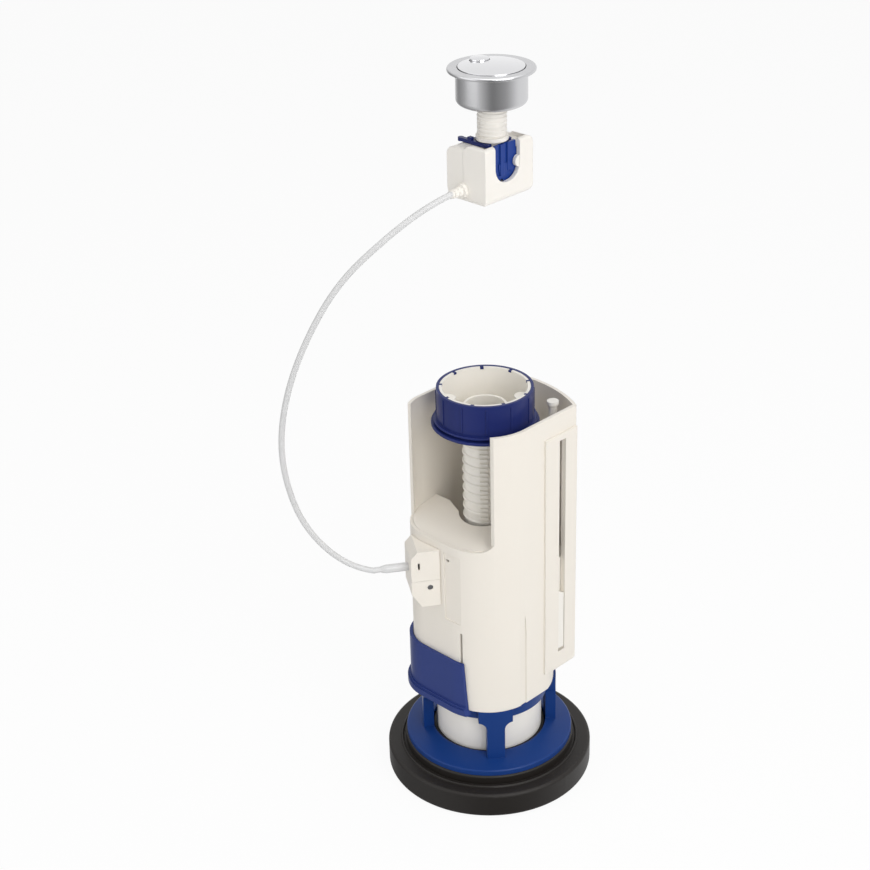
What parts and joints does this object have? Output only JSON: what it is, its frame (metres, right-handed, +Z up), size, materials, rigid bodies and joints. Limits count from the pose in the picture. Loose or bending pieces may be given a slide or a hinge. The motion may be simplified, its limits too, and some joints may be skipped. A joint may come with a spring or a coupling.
{
  "type": "dual flush valve",
  "caption": "Cable-operated dual flush valve with a push button, an overflow tube in an open tower, a caged outlet valve and a rubber base seal.",
  "frame": {"origin": "middle of the base seal's underside, on the outlet's axis", "axes": "+Z up along the outlet's axis; -Y towards the tower's open front"},
  "size_m": [0.128, 0.17, 0.4523],
  "materials": {
    "white_plastic": "satin",
    "blue_plastic": "satin",
    "black_rubber": "matte",
    "chrome": "polished",
    "brushed_bezel": "brushed",
    "steel": "plain",
    "brass": "plain",
    "sheath": "smooth"
  },
  "bodies": {
    "frame": {"base_seal": "black_rubber", "cage": "blue_plastic", "shroud": "white_plastic", "chamber_roof": "white_plastic", "float_rod": "white_plastic", "cable_housing": "white_plastic", "cable_cover": "white_plastic", "crank_pin": "steel", "cable_ferrule": "white_plastic", "cable_sheath": "sheath", "cable_gland": "white_plastic", "bezel_cup": "brushed_bezel", "button_guide": "white_plastic", "threaded_stem": "white_plastic", "case_inner": "white_plastic", "case_outer": "white_plastic", "rocker_pin": "steel", "full_springs": "steel", "half_spring": "steel"},
    "valve": {"valve_bell": "white_plastic", "bell_washer": "black_rubber", "washer_retainer": "white_plastic", "overflow_tube": "white_plastic", "lift_collar": "white_plastic"},
    "overflow_head": {"overflow_cap": "blue_plastic", "cap_liner": "white_plastic"},
    "volume_setter": {"volume_slide": "blue_plastic"},
    "float": {"half_float": "white_plastic", "float_pointer": "white_plastic"},
    "crank": {"crank_lever": "blue_plastic", "lower_nipple": "brass"},
    "main_rocker": {"full_rocker": "blue_plastic", "upper_nipple": "brass"},
    "small_rocker": {"half_rocker": "blue_plastic"},
    "full_key": {"full_button": "chrome", "full_rod": "white_plastic"},
    "half_key": {"half_button": "chrome", "half_rod": "white_plastic"},
    "clip": {"stem_clip": "blue_plastic"}
  },
  "joints": [
    {"name": "valve_lift", "type": "slide", "parent": "frame", "child": "valve", "axis": [0, 0, 1], "range_m": [0, 0.02]},
    {"name": "crank_turn", "type": "hinge", "parent": "frame", "child": "crank", "pos_m": [-0.01336, -0.03826, 0.14381], "axis": [0.8192, -0.5736, 0], "range_deg": [-2, 58.9]},
    {"name": "main_rocker_turn", "type": "hinge", "parent": "frame", "child": "main_rocker", "pos_m": [0.004, 0.0126, 0.39808], "axis": [1, 0, 0], "range_deg": [-2, 42]},
    {"name": "full_press", "type": "slide", "parent": "frame", "child": "full_key", "axis": [0, 0, -1], "range_m": [-0.0003, 0.0066], "deforming": ["full_springs"]},
    {"name": "half_press", "type": "slide", "parent": "frame", "child": "half_key", "axis": [0, 0, -1], "range_m": [0, 0.00362], "stiffness_N_per_m": 60, "springref_m": -0.004, "deforming": ["half_spring"]},
    {"name": "small_rocker_turn", "type": "hinge", "parent": "frame", "child": "small_rocker", "pos_m": [0.004, 0.0126, 0.39808], "axis": [1, 0, 0], "range_deg": [-2, 24]},
    {"name": "volume_set", "type": "slide", "parent": "frame", "child": "volume_setter", "axis": [0, 0, 1], "range_m": [0, 0.024]},
    {"name": "float_rise", "type": "slide", "parent": "frame", "child": "float", "axis": [0, 0, 1], "range_m": [0, 0.06]},
    {"name": "overflow_height", "type": "slide", "parent": "valve", "child": "overflow_head", "axis": [0, 0, -1], "range_m": [0, 0.012]},
    {"name": "clip_pull", "type": "slide", "parent": "frame", "child": "clip", "axis": [-1, 0, 0], "range_m": [0, 0.006]}
  ],
  "couplings": [
    {"joint": "crank_turn", "follows": "valve_lift", "rad_per_m": 49.632},
    {"joint": "main_rocker_turn", "follows": "valve_lift", "rad_per_m": 34.907},
    {"joint": "full_press", "follows": "valve_lift", "ratio": 0.31301},
    {"joint": "small_rocker_turn", "follows": "half_press", "rad_per_m": 106.04}
  ]
}
